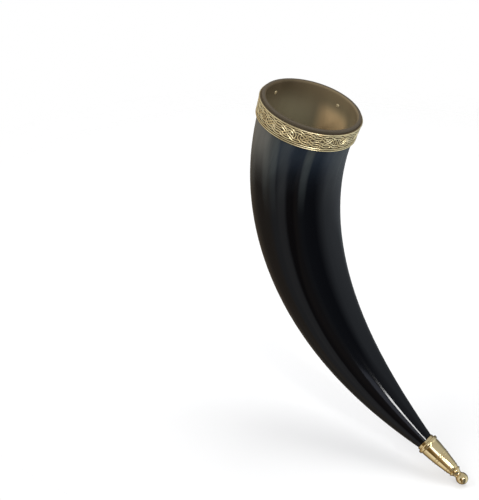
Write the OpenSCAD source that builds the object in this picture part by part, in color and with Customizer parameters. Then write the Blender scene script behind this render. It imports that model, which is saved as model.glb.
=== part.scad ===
// Horn drinking cup: a hollowed horn with a brass band at the mouth and a brass ferrule at the tip.
// Millimetres, +Z up. The horn stands mouth up as a ring holds it, and curves in the XZ plane
// with its tip towards +X. The origin is the centre of the horn where the ring seats it.

/* [Horn] */
// Length of the horn's centre line, from the rim to the mouth of the ferrule
horn_l = 290; // [240:1:360]
// Widest diameter of the horn, before it flares to the rim
belly_d = 70; // [60:0.5:84]
// How much wider the rim is than the belly
rim_flare = 2.4; // [1.6:0.1:5]
// Length over which the horn flares out to its rim
flare_l = 36; // [24:1:60]
// Diameter of the horn where it enters the ferrule
tip_d = 13.2; // [11.4:0.1:15]
// Power of the taper: 1 is a straight cone, more keeps the upper half full
taper_power = 2; // [1.5:0.05:2.6]
// Depth of the seat below the rim, along the centre line
seat_depth = 90; // [70:1:130]

/* [Curve of the horn] */
// Lean of the mouth away from upright, towards the tip's side, in degrees
mouth_lean = 16; // [8:0.5:24]
// Lean of the tip away from straight down, in degrees
tip_lean = 62; // [40:0.5:75]
// Length behind the rim that is turned straight and true
straight_l = 17; // [16.6:0.2:30]
// How much more of the curve lies near the mouth than near the tip
early_turn_share = 0.3; // [0:0.05:0.5]

/* [Cavity] */
// Thickness of the horn's wall below the turned mouth
wall_t = 2.4; // [2.3:0.1:3.4]
// Thickness left outside the bore that is turned true inside the rim
mouth_wall_t = 2.1; // [1.8:0.1:2.2]
// Depth of the hollow, along the centre line
cavity_l = 205; // [150:1:230]
// Power of the hollow's closing: more keeps it wide for longer
closing_power = 4; // [3:0.1:6]

/* [Rim band] */
// Height of the band
band_h = 13.6; // [12:0.1:15]
// How far the rim stands above the band
lip_h = 2.2; // [1.6:0.1:3]
// Thickness of the band between its raised edges
band_t = 1.5; // [1.2:0.1:2]
// How far the band's edge beads stand out
bead_t = 0.6; // [0.4:0.05:0.9]
// Height of each edge bead
bead_h = 1; // [0.8:0.1:1.4]
// Depth of the seat cut round the horn for the band
band_seat_t = 0.5; // [0.3:0.05:0.7]
// Gap between the band and its seat
band_gap = 0.1; // [0.05:0.05:0.2]

/* [Band pins] */
// Diameter of a pin's shank
pin_d = 1.6; // [1.2:0.1:2]
// Diameter of a pin's head
pin_head_d = 2.6; // [2.4:0.1:3]
// Height of a pin's head above the band
pin_head_h = 0.5; // [0.4:0.05:0.6]
// Gap round a pin's shank
pin_gap = 0.05; // [0.02:0.01:0.1]
// Direction of the first pin round the mouth, from the tip's side, in degrees
pin_turn = 85; // [0:1:89]

/* [Ferrule] */
// Length of the ferrule
ferrule_l = 29; // [26:0.5:34]
// Diameter of the sleeve at the ferrule's mouth
sleeve_d = 14.6; // [14.4:0.1:16]
// Length of that sleeve, up to the flange
sleeve_l = 2; // [1.6:0.1:3]
// Diameter of the flange
flange_d = 17.2; // [16.8:0.1:20]
// Thickness of the flange
flange_t = 2.5; // [2:0.1:3.4]
// Diameter of the ferrule just after the flange
ferrule_d = 15.4; // [14.8:0.1:16.4]
// Diameter of the ferrule at its nose
nose_d = 9; // [8:0.1:10]
// Length of the solid nose
nose_l = 7; // [6.5:0.1:9]
// Thickness of the ferrule's wall where its nose begins
nose_wall_t = 1.1; // [0.9:0.05:1.3]
// Height of each raised ring on the ferrule
ring_t = 0.35; // [0.2:0.05:0.5]
// Width of each raised ring
ring_w = 0.8; // [0.6:0.05:1]
// Gap between the ferrule's bore and the horn's point
ferrule_gap = 0.1; // [0.05:0.01:0.15]

/* [Finial] */
// Diameter of the bead under the neck
finial_bead_d = 9.6; // [8.8:0.1:11]
// Length of the bead
finial_bead_l = 2; // [1.6:0.1:3]
// Diameter of the neck
neck_d = 6; // [5:0.1:7]
// Length of the finial from the ferrule to the centre of its ball
ball_reach = 8; // [7.4:0.1:10]
// Diameter of the ball
ball_d = 9; // [8:0.1:10.4]
// Diameter of the stud in the ferrule's nose
stud_d = 3; // [2.4:0.1:3.6]
// Length of the stud
stud_l = 5.5; // [4:0.1:6]
// Gap round the stud
stud_gap = 0.05; // [0.02:0.01:0.1]

/* [Hidden] */
$fn = 96;
// How far a cut runs past what it cuts, and one solid into the next
overrun = 1;
pin_count = 4;

// Number of sides of the horn's skin, and of rings outside and in the hollow
horn_sides = 36;
horn_rings = 34;
hollow_rings = 20;
// The hollow's rings are spaced by a sine, and the last stops just short of its closed end
last_ring_deg = 88;
// How far the skin stays inside the turned mouth
shell_inset = 0.1;
// Share of a rim's, bead's or flange's thickness that its broken edges take
edge_share = 0.25;
rim_edge = wall_t * edge_share;
path_steps = 200;
path_step = horn_l / path_steps;

// The horn's point inside the ferrule, a cone that stops short of the nose. Its root is a few gaps
// narrower than the horn, so that the ferrule's mouth butts against a shoulder.
point_l = ferrule_l - nose_l - ferrule_gap;
shoulder_gaps = 4;
point_root_d = tip_d - shoulder_gaps * ferrule_gap;
point_end_d = nose_d - nose_wall_t * 2;

// Centre line: its lean at a distance s from the rim, and its places in the XZ plane
turned_deg = mouth_lean + tip_lean;
function eased(t) = (1 + early_turn_share) * t - early_turn_share * pow(t, 3);
function lean(s) = mouth_lean - turned_deg * eased(max(0, s - straight_l) / (horn_l - straight_l));
function run(s) = [sin(lean(s)), cos(lean(s))];
path = [for (i = 0, p = [0, 0]; i <= path_steps;
    p = p - path_step * run(path_step * (i + 0.5)), i = i + 1) p];
function raw_place(s) = let (k = s / path_step, i = max(0, min(floor(k), path_steps - 1)))
    path[i] + (k - i) * (path[i + 1] - path[i]);
seat_place = raw_place(seat_depth);
function place(s) = let (p = raw_place(s) - seat_place) [p[0], 0, p[1]];

// Radius of the horn's outside and of its hollow at a distance s from the rim
function taper(s) = 1 - pow(max(0, s) / horn_l, taper_power);
function flare(s) = rim_flare / 2 * pow(max(0, 1 - max(0, s) / flare_l), 2);
function outer_r(s) = tip_d / 2 + (belly_d - tip_d) / 2 * taper(s) + flare(s);
function plain_r(s) = outer_r(s) - flare(s);
function closing(s) = sqrt(1 - pow(max(0, s) / cavity_l, closing_power));
function hollow_r(s) = (plain_r(s) - wall_t) * closing(s);

// One ring of points round the centre line
function ring_points(s, r, sides) = [for (k = [0:sides - 1])
    let (a = 360 * k / sides)
    place(s) + r * (cos(a) * [cos(lean(s)), 0, -sin(lean(s))] - sin(a) * [0, 1, 0])];

// Triangles between rings of points, facing out or, on the hollow, in
function strip_faces(first, rings, sides, inward) = [for (i = [0:rings - 2], k = [0:sides - 1], half = [0, 1])
    let (a = first + i * sides + k, b = first + i * sides + (k + 1) % sides,
        face = half == 0 ? [a, a + sides, b] : [b, a + sides, b + sides])
    inward ? [face[2], face[1], face[0]] : face];

// The horn below its turned mouth: one skin that runs down the outside and back up the hollow.
// It starts a little way inside the turned mouth.
shell_start = straight_l - overrun;
shell_step = (horn_l - shell_start) / horn_rings;
outer_places = [for (i = [0:horn_rings]) shell_start + shell_step * i];
hollow_places = [for (i = [0:hollow_rings])
    shell_start + (cavity_l - shell_start) * sin(last_ring_deg * i / hollow_rings)];
function shell_outer_r(s) = outer_r(s) - shell_inset;
function sleeve_points(places, radii) = [for (i = [0:len(places) - 1])
    each ring_points(places[i], radii[i], horn_sides)];

module horn_shell() {
    outside = sleeve_points(outer_places, [for (s = outer_places) shell_outer_r(s)]);
    hollow = sleeve_points(hollow_places, [for (s = hollow_places) hollow_r(s)]);
    rings = len(outer_places);
    hollow_count = len(hollow_places);
    first = len(outside);
    polyhedron(concat(outside, hollow), concat(
        strip_faces(0, rings, horn_sides, false),
        [[for (k = [horn_sides - 1:-1:0]) (rings - 1) * horn_sides + k]],
        strip_faces(first, hollow_count, horn_sides, true),
        [[for (k = [0:horn_sides - 1]) first + (hollow_count - 1) * horn_sides + k]],
        [for (k = [0:horn_sides - 1]) let (n = (k + 1) % horn_sides) [k, n, first + n]],
        [for (k = [0:horn_sides - 1]) let (n = (k + 1) % horn_sides) [k, first + n, first + k]]),
        convexity = 8);
}

// Frame at the middle of the rim, +Z out of the mouth
module at_mouth() {
    translate(place(0)) rotate([0, mouth_lean, 0]) children();
}

// Frame at the ferrule's mouth, +Z along the tip
module at_tip() {
    translate(place(horn_l)) rotate([0, 180 - tip_lean, 0]) children();
}

// The band's seat is a cone that follows the flare of the horn
bore_r = belly_d / 2 - mouth_wall_t;
seat_top_r = outer_r(lip_h) - band_seat_t;
seat_foot_r = outer_r(lip_h + band_h) - band_seat_t;

// The mouth is turned true: a rim, the band's seat below it and a bore through both
module turned_mouth() {
    at_mouth() rotate_extrude() polygon([[bore_r, 0],
        [outer_r(0) - rim_edge, 0], [outer_r(0), -rim_edge],
        [outer_r(lip_h), -lip_h], [seat_top_r, -lip_h],
        [seat_foot_r, -lip_h - band_h], [outer_r(lip_h + band_h), -lip_h - band_h],
        [outer_r(straight_l), -straight_l], [bore_r, -straight_l]]);
}

// Places its child at each pin's axis, +Z outwards
module at_pin(i) {
    at_mouth() translate([0, 0, -lip_h - band_h / 2])
        rotate([0, 0, pin_turn + 360 * i / pin_count]) rotate([0, 90, 0]) children();
}

module pin_hole(i) {
    at_pin(i) cylinder(h = belly_d, r = pin_d / 2 + pin_gap, $fn = 24);
}

module horn_body() {
    color("#26282c") union() {
        difference() {
            turned_mouth();
            for (i = [0:pin_count - 1]) pin_hole(i);
        }
        horn_shell();
        at_tip() translate([0, 0, -overrun])
            cylinder(h = overrun + point_l, d1 = point_root_d, d2 = point_end_d);
    }
}

// Band: a conical strip with a bead on its top edge and two on its foot
band_foot_r = seat_foot_r + band_gap;
band_top_r = seat_top_r + band_gap;
function band_r(z) = band_foot_r + (band_top_r - band_foot_r) * z / band_h;
// The second bead starts one and a half beads up from the foot
bead_pitch_share = 1.5;
bead_starts = [0, bead_h * bead_pitch_share, band_h - bead_h];
bead_edge = bead_h * edge_share;

module rim_band() {
    color("#cdab5a") difference() {
        at_mouth() translate([0, 0, -lip_h - band_h]) rotate_extrude() {
            polygon([[band_foot_r, 0], [band_foot_r + band_t, 0],
                [band_top_r + band_t, band_h], [band_top_r, band_h]]);
            for (z = bead_starts) polygon([[band_r(z) + band_t / 2, z],
                [band_r(z) + band_t + bead_t / 2, z],
                [band_r(z) + band_t + bead_t, z + bead_edge],
                [band_r(z + bead_h) + band_t + bead_t, z + bead_h - bead_edge],
                [band_r(z + bead_h) + band_t + bead_t / 2, z + bead_h],
                [band_r(z + bead_h) + band_t / 2, z + bead_h]]);
        }
        for (i = [0:pin_count - 1]) pin_hole(i);
    }
}

// Pin: a shank through the band and the horn's wall, flush with the bore, and a low head on the band
pin_head_r = band_r(band_h / 2) + band_t;
pin_inner_r = bore_r + pin_gap;

module band_pin(i) {
    color("#d8bb70") at_pin(i) {
        translate([0, 0, pin_inner_r])
            cylinder(h = pin_head_r - pin_inner_r + pin_head_h / 2, d = pin_d, $fn = 24);
        translate([0, 0, pin_head_r]) cylinder(h = pin_head_h, d1 = pin_head_d, d2 = pin_d, $fn = 24);
    }
}

// Ferrule: radius of its tapered tube at a distance z from its mouth
tube_start = sleeve_l + flange_t;
tube_l = ferrule_l - tube_start;
function tube_r(z) = ferrule_d / 2 + (nose_d - ferrule_d) / 2 * pow((z - tube_start) / tube_l, 1.5);
tube_steps = 10;
flange_edge = flange_t * edge_share;
// Places of the raised rings, as shares of the tube's length
ring_place_shares = [0.4, 0.48, 0.82, 0.9];

module tip_ferrule() {
    color("#d9b45c") at_tip() difference() {
        rotate_extrude() union() {
            polygon(concat(
                [[0, 0], [sleeve_d / 2, 0], [sleeve_d / 2, sleeve_l],
                    [flange_d / 2 - flange_edge, sleeve_l],
                    [flange_d / 2, sleeve_l + flange_edge],
                    [flange_d / 2, tube_start - flange_edge],
                    [flange_d / 2 - flange_edge, tube_start]],
                [for (k = [0:tube_steps]) let (z = tube_start + tube_l * k / tube_steps) [tube_r(z), z]],
                [[0, ferrule_l]]));
            for (share = ring_place_shares) translate([0, tube_start + tube_l * share])
                square([tube_r(tube_start + tube_l * share) + ring_t, ring_w]);
        }
        translate([0, 0, -overrun]) cylinder(
            h = ferrule_l - nose_l + overrun,
            d1 = point_root_d + 2 * ferrule_gap + (point_root_d - point_end_d) * overrun / point_l,
            d2 = point_end_d + 2 * ferrule_gap);
        cylinder(h = ferrule_l + overrun, d = stud_d + 2 * stud_gap);
    }
}

// Finial: a bead, a neck and a ball on a stud
finial_edge = finial_bead_l * edge_share;

module tip_finial() {
    color("#d9b45c") at_tip() translate([0, 0, ferrule_l]) {
        translate([0, 0, -stud_l]) cylinder(h = stud_l + finial_bead_l, d = stud_d);
        rotate_extrude() polygon([[0, 0], [finial_bead_d / 2 - finial_edge, 0],
            [finial_bead_d / 2, finial_edge], [finial_bead_d / 2, finial_bead_l - finial_edge],
            [finial_bead_d / 2 - finial_edge, finial_bead_l], [0, finial_bead_l]]);
        cylinder(h = ball_reach, d = neck_d);
        translate([0, 0, ball_reach]) sphere(d = ball_d);
    }
}

horn_body();
rim_band();
band_pin(0);  // band_pin_1
band_pin(1);  // band_pin_2
band_pin(2);  // band_pin_3
band_pin(3);  // band_pin_4
tip_ferrule();
tip_finial();
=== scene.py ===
"""Looks of a horn drinking cup with a knotwork band at its mouth and a turned ferrule at its tip."""
import logging
import math
from dataclasses import dataclass, field
from enum import Enum
from typing import Sequence

import bpy
import numpy as np
from mathutils import Matrix, Vector


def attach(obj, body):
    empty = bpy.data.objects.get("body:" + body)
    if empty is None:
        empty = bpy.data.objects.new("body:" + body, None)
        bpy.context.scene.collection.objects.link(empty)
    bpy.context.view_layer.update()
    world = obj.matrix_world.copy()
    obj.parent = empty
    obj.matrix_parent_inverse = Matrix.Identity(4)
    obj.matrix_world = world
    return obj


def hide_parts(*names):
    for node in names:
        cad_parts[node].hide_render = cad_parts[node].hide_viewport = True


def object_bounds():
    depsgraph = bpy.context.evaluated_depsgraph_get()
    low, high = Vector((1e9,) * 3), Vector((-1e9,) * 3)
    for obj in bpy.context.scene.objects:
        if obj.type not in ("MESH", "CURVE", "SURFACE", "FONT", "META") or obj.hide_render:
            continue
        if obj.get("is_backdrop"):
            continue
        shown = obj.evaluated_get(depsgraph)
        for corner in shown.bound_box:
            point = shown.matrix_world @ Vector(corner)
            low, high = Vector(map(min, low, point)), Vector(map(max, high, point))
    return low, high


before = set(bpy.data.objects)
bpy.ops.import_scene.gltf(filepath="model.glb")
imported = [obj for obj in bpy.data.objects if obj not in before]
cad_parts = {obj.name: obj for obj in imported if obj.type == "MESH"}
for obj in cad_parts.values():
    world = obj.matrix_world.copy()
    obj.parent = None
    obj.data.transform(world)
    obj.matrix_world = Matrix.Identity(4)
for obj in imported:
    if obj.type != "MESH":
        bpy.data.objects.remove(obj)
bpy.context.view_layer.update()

LOG = logging.getLogger("horn")
Colour = tuple[float, float, float]
Place = tuple[float, float, float]
Span = tuple[float, float]
Pair = tuple[int, int]
Pass = tuple[Vector, Vector, float]
MM = 0.001
TINY = 1e-9
MERGE = 1e-6
# With no window, Blender turns a selection the other way
TURN_SIGN = -1.0


# Shader tools


class Value:
    """A shader socket that can be used in Python expressions."""

    def __init__(self, nodes: "Nodes", socket: bpy.types.NodeSocket) -> None:
        """Keep a socket and the tree that it belongs to.

        Args:
            nodes: the tree that an expression adds its nodes to.
            socket: the output socket that carries the value.
        """
        self.nodes = nodes
        self.socket = socket

    def _math(self, operation: str, *values: "Value | float", clamp: bool = False) -> "Value":
        """Add one Math node.

        Args:
            operation: the Math node's operation.
            values: its inputs, in order.
            clamp: whether the result is kept from 0 to 1.

        Returns:
            The node's value.
        """
        return self.nodes.node("ShaderNodeMath", {"operation": operation, "use_clamp": clamp},
                               dict(enumerate(values)))

    def __add__(self, other: "Value | float") -> "Value":
        """Sum of two values."""
        return self._math("ADD", self, other)

    __radd__ = __add__

    def __mul__(self, other: "Value | float") -> "Value":
        """Product of two values."""
        return self._math("MULTIPLY", self, other)

    __rmul__ = __mul__

    def __sub__(self, other: "Value | float") -> "Value":
        """This value less another."""
        return self._math("SUBTRACT", self, other)

    def __rsub__(self, other: "Value | float") -> "Value":
        """Another value less this one."""
        return self._math("SUBTRACT", other, self)

    def __truediv__(self, other: "Value | float") -> "Value":
        """This value over another."""
        return self._math("DIVIDE", self, other)

    def __pow__(self, other: "Value | float") -> "Value":
        """This value raised to a power."""
        return self._math("POWER", self, other)

    def held(self) -> "Value":
        """This value kept from 0 to 1."""
        return self._math("ADD", self, 0.0, clamp=True)

    def ramp(self, low: float, high: float) -> "Value":
        """A smooth step of this value.

        Args:
            low: the value at which the step starts, as 0.
            high: the value at which it ends, as 1.

        Returns:
            The step, from 0 to 1.
        """
        return self.nodes.node("ShaderNodeMapRange", {"interpolation_type": "SMOOTHSTEP"},
                               {0: self, 1: low, 2: high})


class Nodes:
    """A node tree, whose nodes are added in the order in which they are written."""

    def __init__(self, tree: bpy.types.NodeTree) -> None:
        """Keep a tree and empty it."""
        self.tree = tree
        self.tree.nodes.clear()

    def add(self, kind: str, settings: dict[str, object],
            inputs: dict[object, object]) -> bpy.types.Node:
        """Add one node.

        Args:
            kind: the node's type.
            settings: its properties, set before its sockets. A list under "stops" fills a ramp.
            inputs: values or links for its sockets, by name or number.

        Returns:
            The node.
        """
        node = self.tree.nodes.new(kind)
        for key, value in settings.items():
            if key == "stops":
                self._fill_ramp(node.color_ramp, value)
            else:
                setattr(node, key, value)
        for key, value in inputs.items():
            self.feed(node.inputs[key], value)
        return node

    def node(self, kind: str, settings: dict[str, object], inputs: dict[object, object],
             output: object = 0) -> Value:
        """Add one node and take one of its outputs.

        Args:
            kind: the node's type.
            settings: its properties.
            inputs: values or links for its sockets, by name or number.
            output: the output that is taken, by name or number.

        Returns:
            The output.
        """
        return Value(self, self.add(kind, settings, inputs).outputs[output])

    def _fill_ramp(self, ramp: bpy.types.ColorRamp, stops: Sequence[tuple[float, Colour]]) -> None:
        """Give a colour ramp its stops.

        Args:
            ramp: the ramp.
            stops: places and colours, in order.
        """
        while len(ramp.elements) < len(stops):
            ramp.elements.new(1.0)
        for element, (place, colour) in zip(ramp.elements, stops):
            element.position = place
            element.color = (*colour, 1.0)

    def feed(self, socket: bpy.types.NodeSocket, value: object) -> None:
        """Set or link a socket.

        Args:
            socket: the input socket.
            value: a Value to link, or a number, vector or colour to set.
        """
        if isinstance(value, Value):
            self.tree.links.new(value.socket, socket)
        elif isinstance(value, tuple) and socket.type == "RGBA" and len(value) == 3:
            socket.default_value = (*value, 1.0)
        else:
            socket.default_value = value

    def part(self, vector: Value, axis: str) -> Value:
        """One part of a vector, X, Y or Z."""
        return self.node("ShaderNodeSeparateXYZ", {}, {0: vector}, axis)

    def blend(self, share: Value | float, low: object, high: object) -> Value:
        """Mix two colours.

        Args:
            share: how much of the second shows.
            low: the first colour.
            high: the second colour.

        Returns:
            The mixed colour.
        """
        return self.node("ShaderNodeMix", {"data_type": "RGBA"}, {0: share, 6: low, 7: high}, 2)


class Shader(Nodes):
    """One material's nodes, round a Principled shader."""

    def __init__(self, name: str) -> None:
        """Make a material.

        Args:
            name: the material's name.
        """
        self.material = bpy.data.materials.new(name)
        self.material.use_nodes = True
        super().__init__(self.material.node_tree)
        self.principled = self.add("ShaderNodeBsdfPrincipled", {}, {})
        self.surface = Value(self, self.principled.outputs[0])
        self.output = self.add("ShaderNodeOutputMaterial", {}, {"Surface": self.surface})

    def attribute(self, name: str, output: str = "Fac") -> Value:
        """Read one of the mesh's attributes.

        Args:
            name: the attribute's name.
            output: Fac for a number or Vector for a vector.

        Returns:
            The attribute's value.
        """
        return self.node("ShaderNodeAttribute", {"attribute_name": name}, {}, output)

    def place(self) -> Value:
        """Object coordinates."""
        return self.node("ShaderNodeTexCoord", {}, {}, "Object")

    def stretched(self, vector: Value, scale: Place, shift: Place = (0.0, 0.0, 0.0)) -> Value:
        """A vector scaled and shifted."""
        return self.node("ShaderNodeMapping", {}, {"Vector": vector, "Scale": scale, "Location": shift})

    def noise(self, vector: Value, scale: float, detail: float = 2.0, rough: float = 0.5,
              warp: float = 0.0) -> Value:
        """Cloudy noise from 0 to 1.

        Args:
            vector: where it is read.
            scale: how fine it is.
            detail: how many finer layers it has.
            rough: how strong they are.
            warp: how much it is distorted.

        Returns:
            The noise.
        """
        return self.node("ShaderNodeTexNoise", {}, {"Vector": vector, "Scale": scale, "Detail": detail,
                                                    "Roughness": rough, "Distortion": warp})

    def bump(self, height: Value, strength: float, distance: float) -> None:
        """Let a height raise the surface's shading.

        Args:
            height: the height, from 0 to 1.
            strength: how much of it shows.
            distance: the height's size in metres.
        """
        sockets = {"Strength": strength, "Distance": distance, "Height": height}
        self.set(Normal=self.node("ShaderNodeBump", {}, sockets))

    def set(self, **sockets: object) -> None:
        """Set or link the Principled shader's sockets, named with _ for a space."""
        for name, value in sockets.items():
            self.feed(self.principled.inputs[name.replace("_", " ")], value)


# Mesh tools


@dataclass(frozen=True)
class Station:
    """One ring of a swept piece, in millimetres and degrees, leaning in the XZ plane."""

    centre: Place
    lean: float
    radius: float


class Modeller:
    """Ring by ring modelling in edit mode, and the finishing of a mesh."""

    @staticmethod
    def deselect() -> None:
        """Leave edit mode and deselect everything."""
        if bpy.context.object and bpy.context.object.mode != "OBJECT":
            bpy.ops.object.mode_set(mode="OBJECT")
        bpy.ops.object.select_all(action="DESELECT")

    @classmethod
    def only(cls, piece: bpy.types.Object) -> None:
        """Select one piece alone and make it active.

        Args:
            piece: the piece.
        """
        cls.deselect()
        piece.select_set(True)
        bpy.context.view_layer.objects.active = piece

    @staticmethod
    def rename(piece: bpy.types.Object, name: str) -> None:
        """Give a piece and its mesh one name."""
        piece.name = name
        piece.data.name = name

    @staticmethod
    def add(name: str, data: bpy.types.ID) -> bpy.types.Object:
        """Put a new object into the scene.

        Args:
            name: the object's name.
            data: its curve, light or camera.

        Returns:
            The object.
        """
        made = bpy.data.objects.new(name, data)
        bpy.context.collection.objects.link(made)
        return made

    @staticmethod
    def close(merge: float = 0.0) -> None:
        """Merge close points, turn the faces outwards and leave edit mode.

        Args:
            merge: how close they are, in metres, where 0 merges none.
        """
        bpy.ops.mesh.select_all(action="SELECT")
        if merge:
            bpy.ops.mesh.remove_doubles(threshold=merge)
        bpy.ops.mesh.normals_make_consistent(inside=False)
        bpy.ops.object.mode_set(mode="OBJECT")

    @classmethod
    def sweep(cls, name: str, stations: Sequence[Station], sides: int, filled: bool) -> bpy.types.Object:
        """Extrude a circle from ring to ring.

        Args:
            name: the piece's name.
            stations: the rings, in order.
            sides: how many sides each ring has.
            filled: whether both ends are closed by a face, else the last ring meets the first.

        Returns:
            The piece, with its place in its mesh.
        """
        cls.deselect()
        start = stations[0]
        bpy.ops.mesh.primitive_circle_add(
            vertices=sides, radius=start.radius * MM, fill_type="NGON" if filled else "NOTHING",
            location=Vector(start.centre) * MM, rotation=(0.0, math.radians(start.lean), 0.0))
        piece = bpy.context.object
        cls.rename(piece, name)
        bpy.ops.object.transform_apply(location=True, rotation=True, scale=True)
        bpy.ops.object.mode_set(mode="EDIT")
        bpy.ops.mesh.select_all(action="SELECT")
        extrude = bpy.ops.mesh.extrude_region_move if filled else bpy.ops.mesh.extrude_edges_move
        for before, after in zip(stations, stations[1:]):
            centre = Vector(after.centre) * MM
            extrude(TRANSFORM_OT_translate={"value": centre - Vector(before.centre) * MM})
            turn = math.radians(after.lean - before.lean)
            if abs(turn) > TINY:
                bpy.ops.transform.rotate(value=TURN_SIGN * turn, orient_axis="Y", center_override=centre)
            if abs(after.radius - before.radius) > TINY:
                factor = after.radius / before.radius
                bpy.ops.transform.resize(value=(factor, factor, factor), center_override=centre)
        cls.close(0.0 if filled else MERGE)
        return piece

    @classmethod
    def smooth(cls, piece: bpy.types.Object, degrees: float) -> None:
        """Shade a piece smooth, apart from edges sharper than an angle."""
        cls.only(piece)
        bpy.ops.object.shade_smooth_by_angle(angle=math.radians(degrees))

    @classmethod
    def copy(cls, piece: bpy.types.Object, name: str, place: Matrix) -> bpy.types.Object:
        """Copy a piece with its own mesh and move the copy's mesh.

        Args:
            piece: the piece to copy.
            name: the copy's name.
            place: where the copy goes, from where the piece is.

        Returns:
            The copy.
        """
        cls.only(piece)
        bpy.ops.object.duplicate(linked=False)
        other = bpy.context.object
        cls.rename(other, name)
        other.data.transform(place)
        return other

    @classmethod
    def join(cls, pieces: Sequence[bpy.types.Object], name: str) -> bpy.types.Object:
        """Join pieces into one.

        Args:
            pieces: the pieces, of which the first takes the others in.
            name: the joined piece's name.

        Returns:
            The joined piece.
        """
        cls.deselect()
        for piece in pieces:
            piece.select_set(True)
        bpy.context.view_layer.objects.active = pieces[0]
        bpy.ops.object.join()
        cls.rename(pieces[0], name)
        return pieces[0]

    @staticmethod
    def points(piece: bpy.types.Object) -> np.ndarray:
        """A piece's points.

        Args:
            piece: the piece.

        Returns:
            One row for each vertex, in millimetres.
        """
        found = np.zeros(len(piece.data.vertices) * 3)
        piece.data.vertices.foreach_get("co", found)
        return found.reshape(-1, 3) / MM

    @staticmethod
    def move_points(piece: bpy.types.Object, points: np.ndarray) -> None:
        """Give a piece's vertices new places, in millimetres."""
        piece.data.vertices.foreach_set("co", (points * MM).ravel())
        piece.data.update()

    @staticmethod
    def moved(points: np.ndarray, matrix: np.ndarray) -> np.ndarray:
        """Points in millimetres, moved by a matrix in metres."""
        return points @ matrix[:3, :3].T + matrix[:3, 3] / MM

    @staticmethod
    def mark(piece: bpy.types.Object, name: str, values: np.ndarray) -> None:
        """Store an attribute on a piece's vertices.

        Args:
            piece: the piece.
            name: the attribute's name.
            values: one number or one row of three for each vertex.
        """
        wide = values.ndim == 2
        layer = piece.data.attributes.new(name, "FLOAT_VECTOR" if wide else "FLOAT", "POINT")
        layer.data.foreach_set("vector" if wide else "value", values.ravel().astype(np.float32))

    @staticmethod
    def dress(piece: bpy.types.Object, material: bpy.types.Material, slot: str, node: str) -> None:
        """Give a piece its material and its body, and hide the CAD node that it stands for.

        Args:
            piece: the piece.
            material: its material.
            slot: not used.
            node: the CAD node that it replaces.
        """
        piece.data.materials.clear()
        piece.data.materials.append(material)
        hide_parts(node)
        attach(piece, "root")
        LOG.info("%s: %d faces", piece.name, len(piece.data.polygons))


# The horn's own line


@dataclass(frozen=True)
class HornLine:
    """The horn's centre line and radii, in millimetres, at a distance from the rim."""

    length: float = 290.0
    belly: float = 70.0
    rim_flare: float = 2.4
    flare_length: float = 36.0
    tip: float = 13.2
    seat_depth: float = 90.0
    mouth_lean: float = 16.0
    tip_lean: float = 62.0
    straight: float = 17.0
    early_turn: float = 0.3
    wall: float = 2.4
    mouth_wall: float = 2.1
    hollow_length: float = 205.0
    closing_power: float = 4.0
    steps: int = 200

    def lean(self, s: float) -> float:
        """Lean of the line.

        Args:
            s: distance from the rim.

        Returns:
            The angle away from upright, in degrees.
        """
        t = max(0.0, s - self.straight) / (self.length - self.straight)
        turned = (1.0 + self.early_turn) * t - self.early_turn * t ** 3
        return self.mouth_lean - (self.mouth_lean + self.tip_lean) * turned

    def path(self) -> np.ndarray:
        """Follow the line.

        Returns:
            Its points in the XZ plane, one for each step, from the seat's centre.
        """
        step = self.length / self.steps
        points = [np.zeros(2)]
        for i in range(self.steps):
            angle = math.radians(self.lean(step * (i + 0.5)))
            points.append(points[-1] - step * np.array([math.sin(angle), math.cos(angle)]))
        rows = np.array(points)
        distances = np.arange(self.steps + 1) * step
        seat = np.array([np.interp(self.seat_depth, distances, rows[:, k]) for k in (0, 1)])
        return rows - seat

    def place(self, s: float) -> Place:
        """One point of the line.

        Args:
            s: distance from the rim.

        Returns:
            The point.
        """
        rows = self.path()
        distances = np.linspace(0.0, self.length, self.steps + 1)
        x, z = (float(np.interp(s, distances, rows[:, k])) for k in (0, 1))
        return x, 0.0, z

    def plain_radius(self, s: float) -> float:
        """Outer radius without the flare at the rim."""
        share = max(0.0, s) / self.length
        return self.tip / 2 + (self.belly - self.tip) / 2 * (1.0 - share ** 2)

    def outer_radius(self, s: float) -> float:
        """Outer radius with the flare."""
        near = max(0.0, 1.0 - max(0.0, s) / self.flare_length)
        return self.plain_radius(s) + self.rim_flare / 2 * near ** 2

    def hollow_radius(self, s: float) -> float:
        """Radius of the hollow below the turned mouth."""
        closing = math.sqrt(max(0.0, 1.0 - (s / self.hollow_length) ** self.closing_power))
        return (self.plain_radius(s) - self.wall) * closing

    @property
    def bore_radius(self) -> float:
        """Radius of the bore that is turned inside the rim."""
        return self.belly / 2 - self.mouth_wall

    def mouth_frame(self) -> Matrix:
        """Frame at the middle of the rim, +Z out of the mouth, in metres."""
        return (Matrix.Translation(Vector(self.place(0.0)) * MM)
                @ Matrix.Rotation(math.radians(self.mouth_lean), 4, "Y"))

    def tip_frame(self) -> Matrix:
        """Frame at the ferrule's mouth, +Z along the tip, in metres."""
        return (Matrix.Translation(Vector(self.place(self.length)) * MM)
                @ Matrix.Rotation(math.radians(180.0 - self.tip_lean), 4, "Y"))

    def ring(self, s: float, radius: float) -> Station:
        """A ring across the line."""
        return Station(self.place(s), self.lean(s), radius)


LINE = HornLine()


# Finishes


@dataclass(frozen=True)
class Streak:
    """A pale streak down the horn: its middle round the mouth, half its width, and its strength."""

    turn: float
    reach: float
    strength: float


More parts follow.
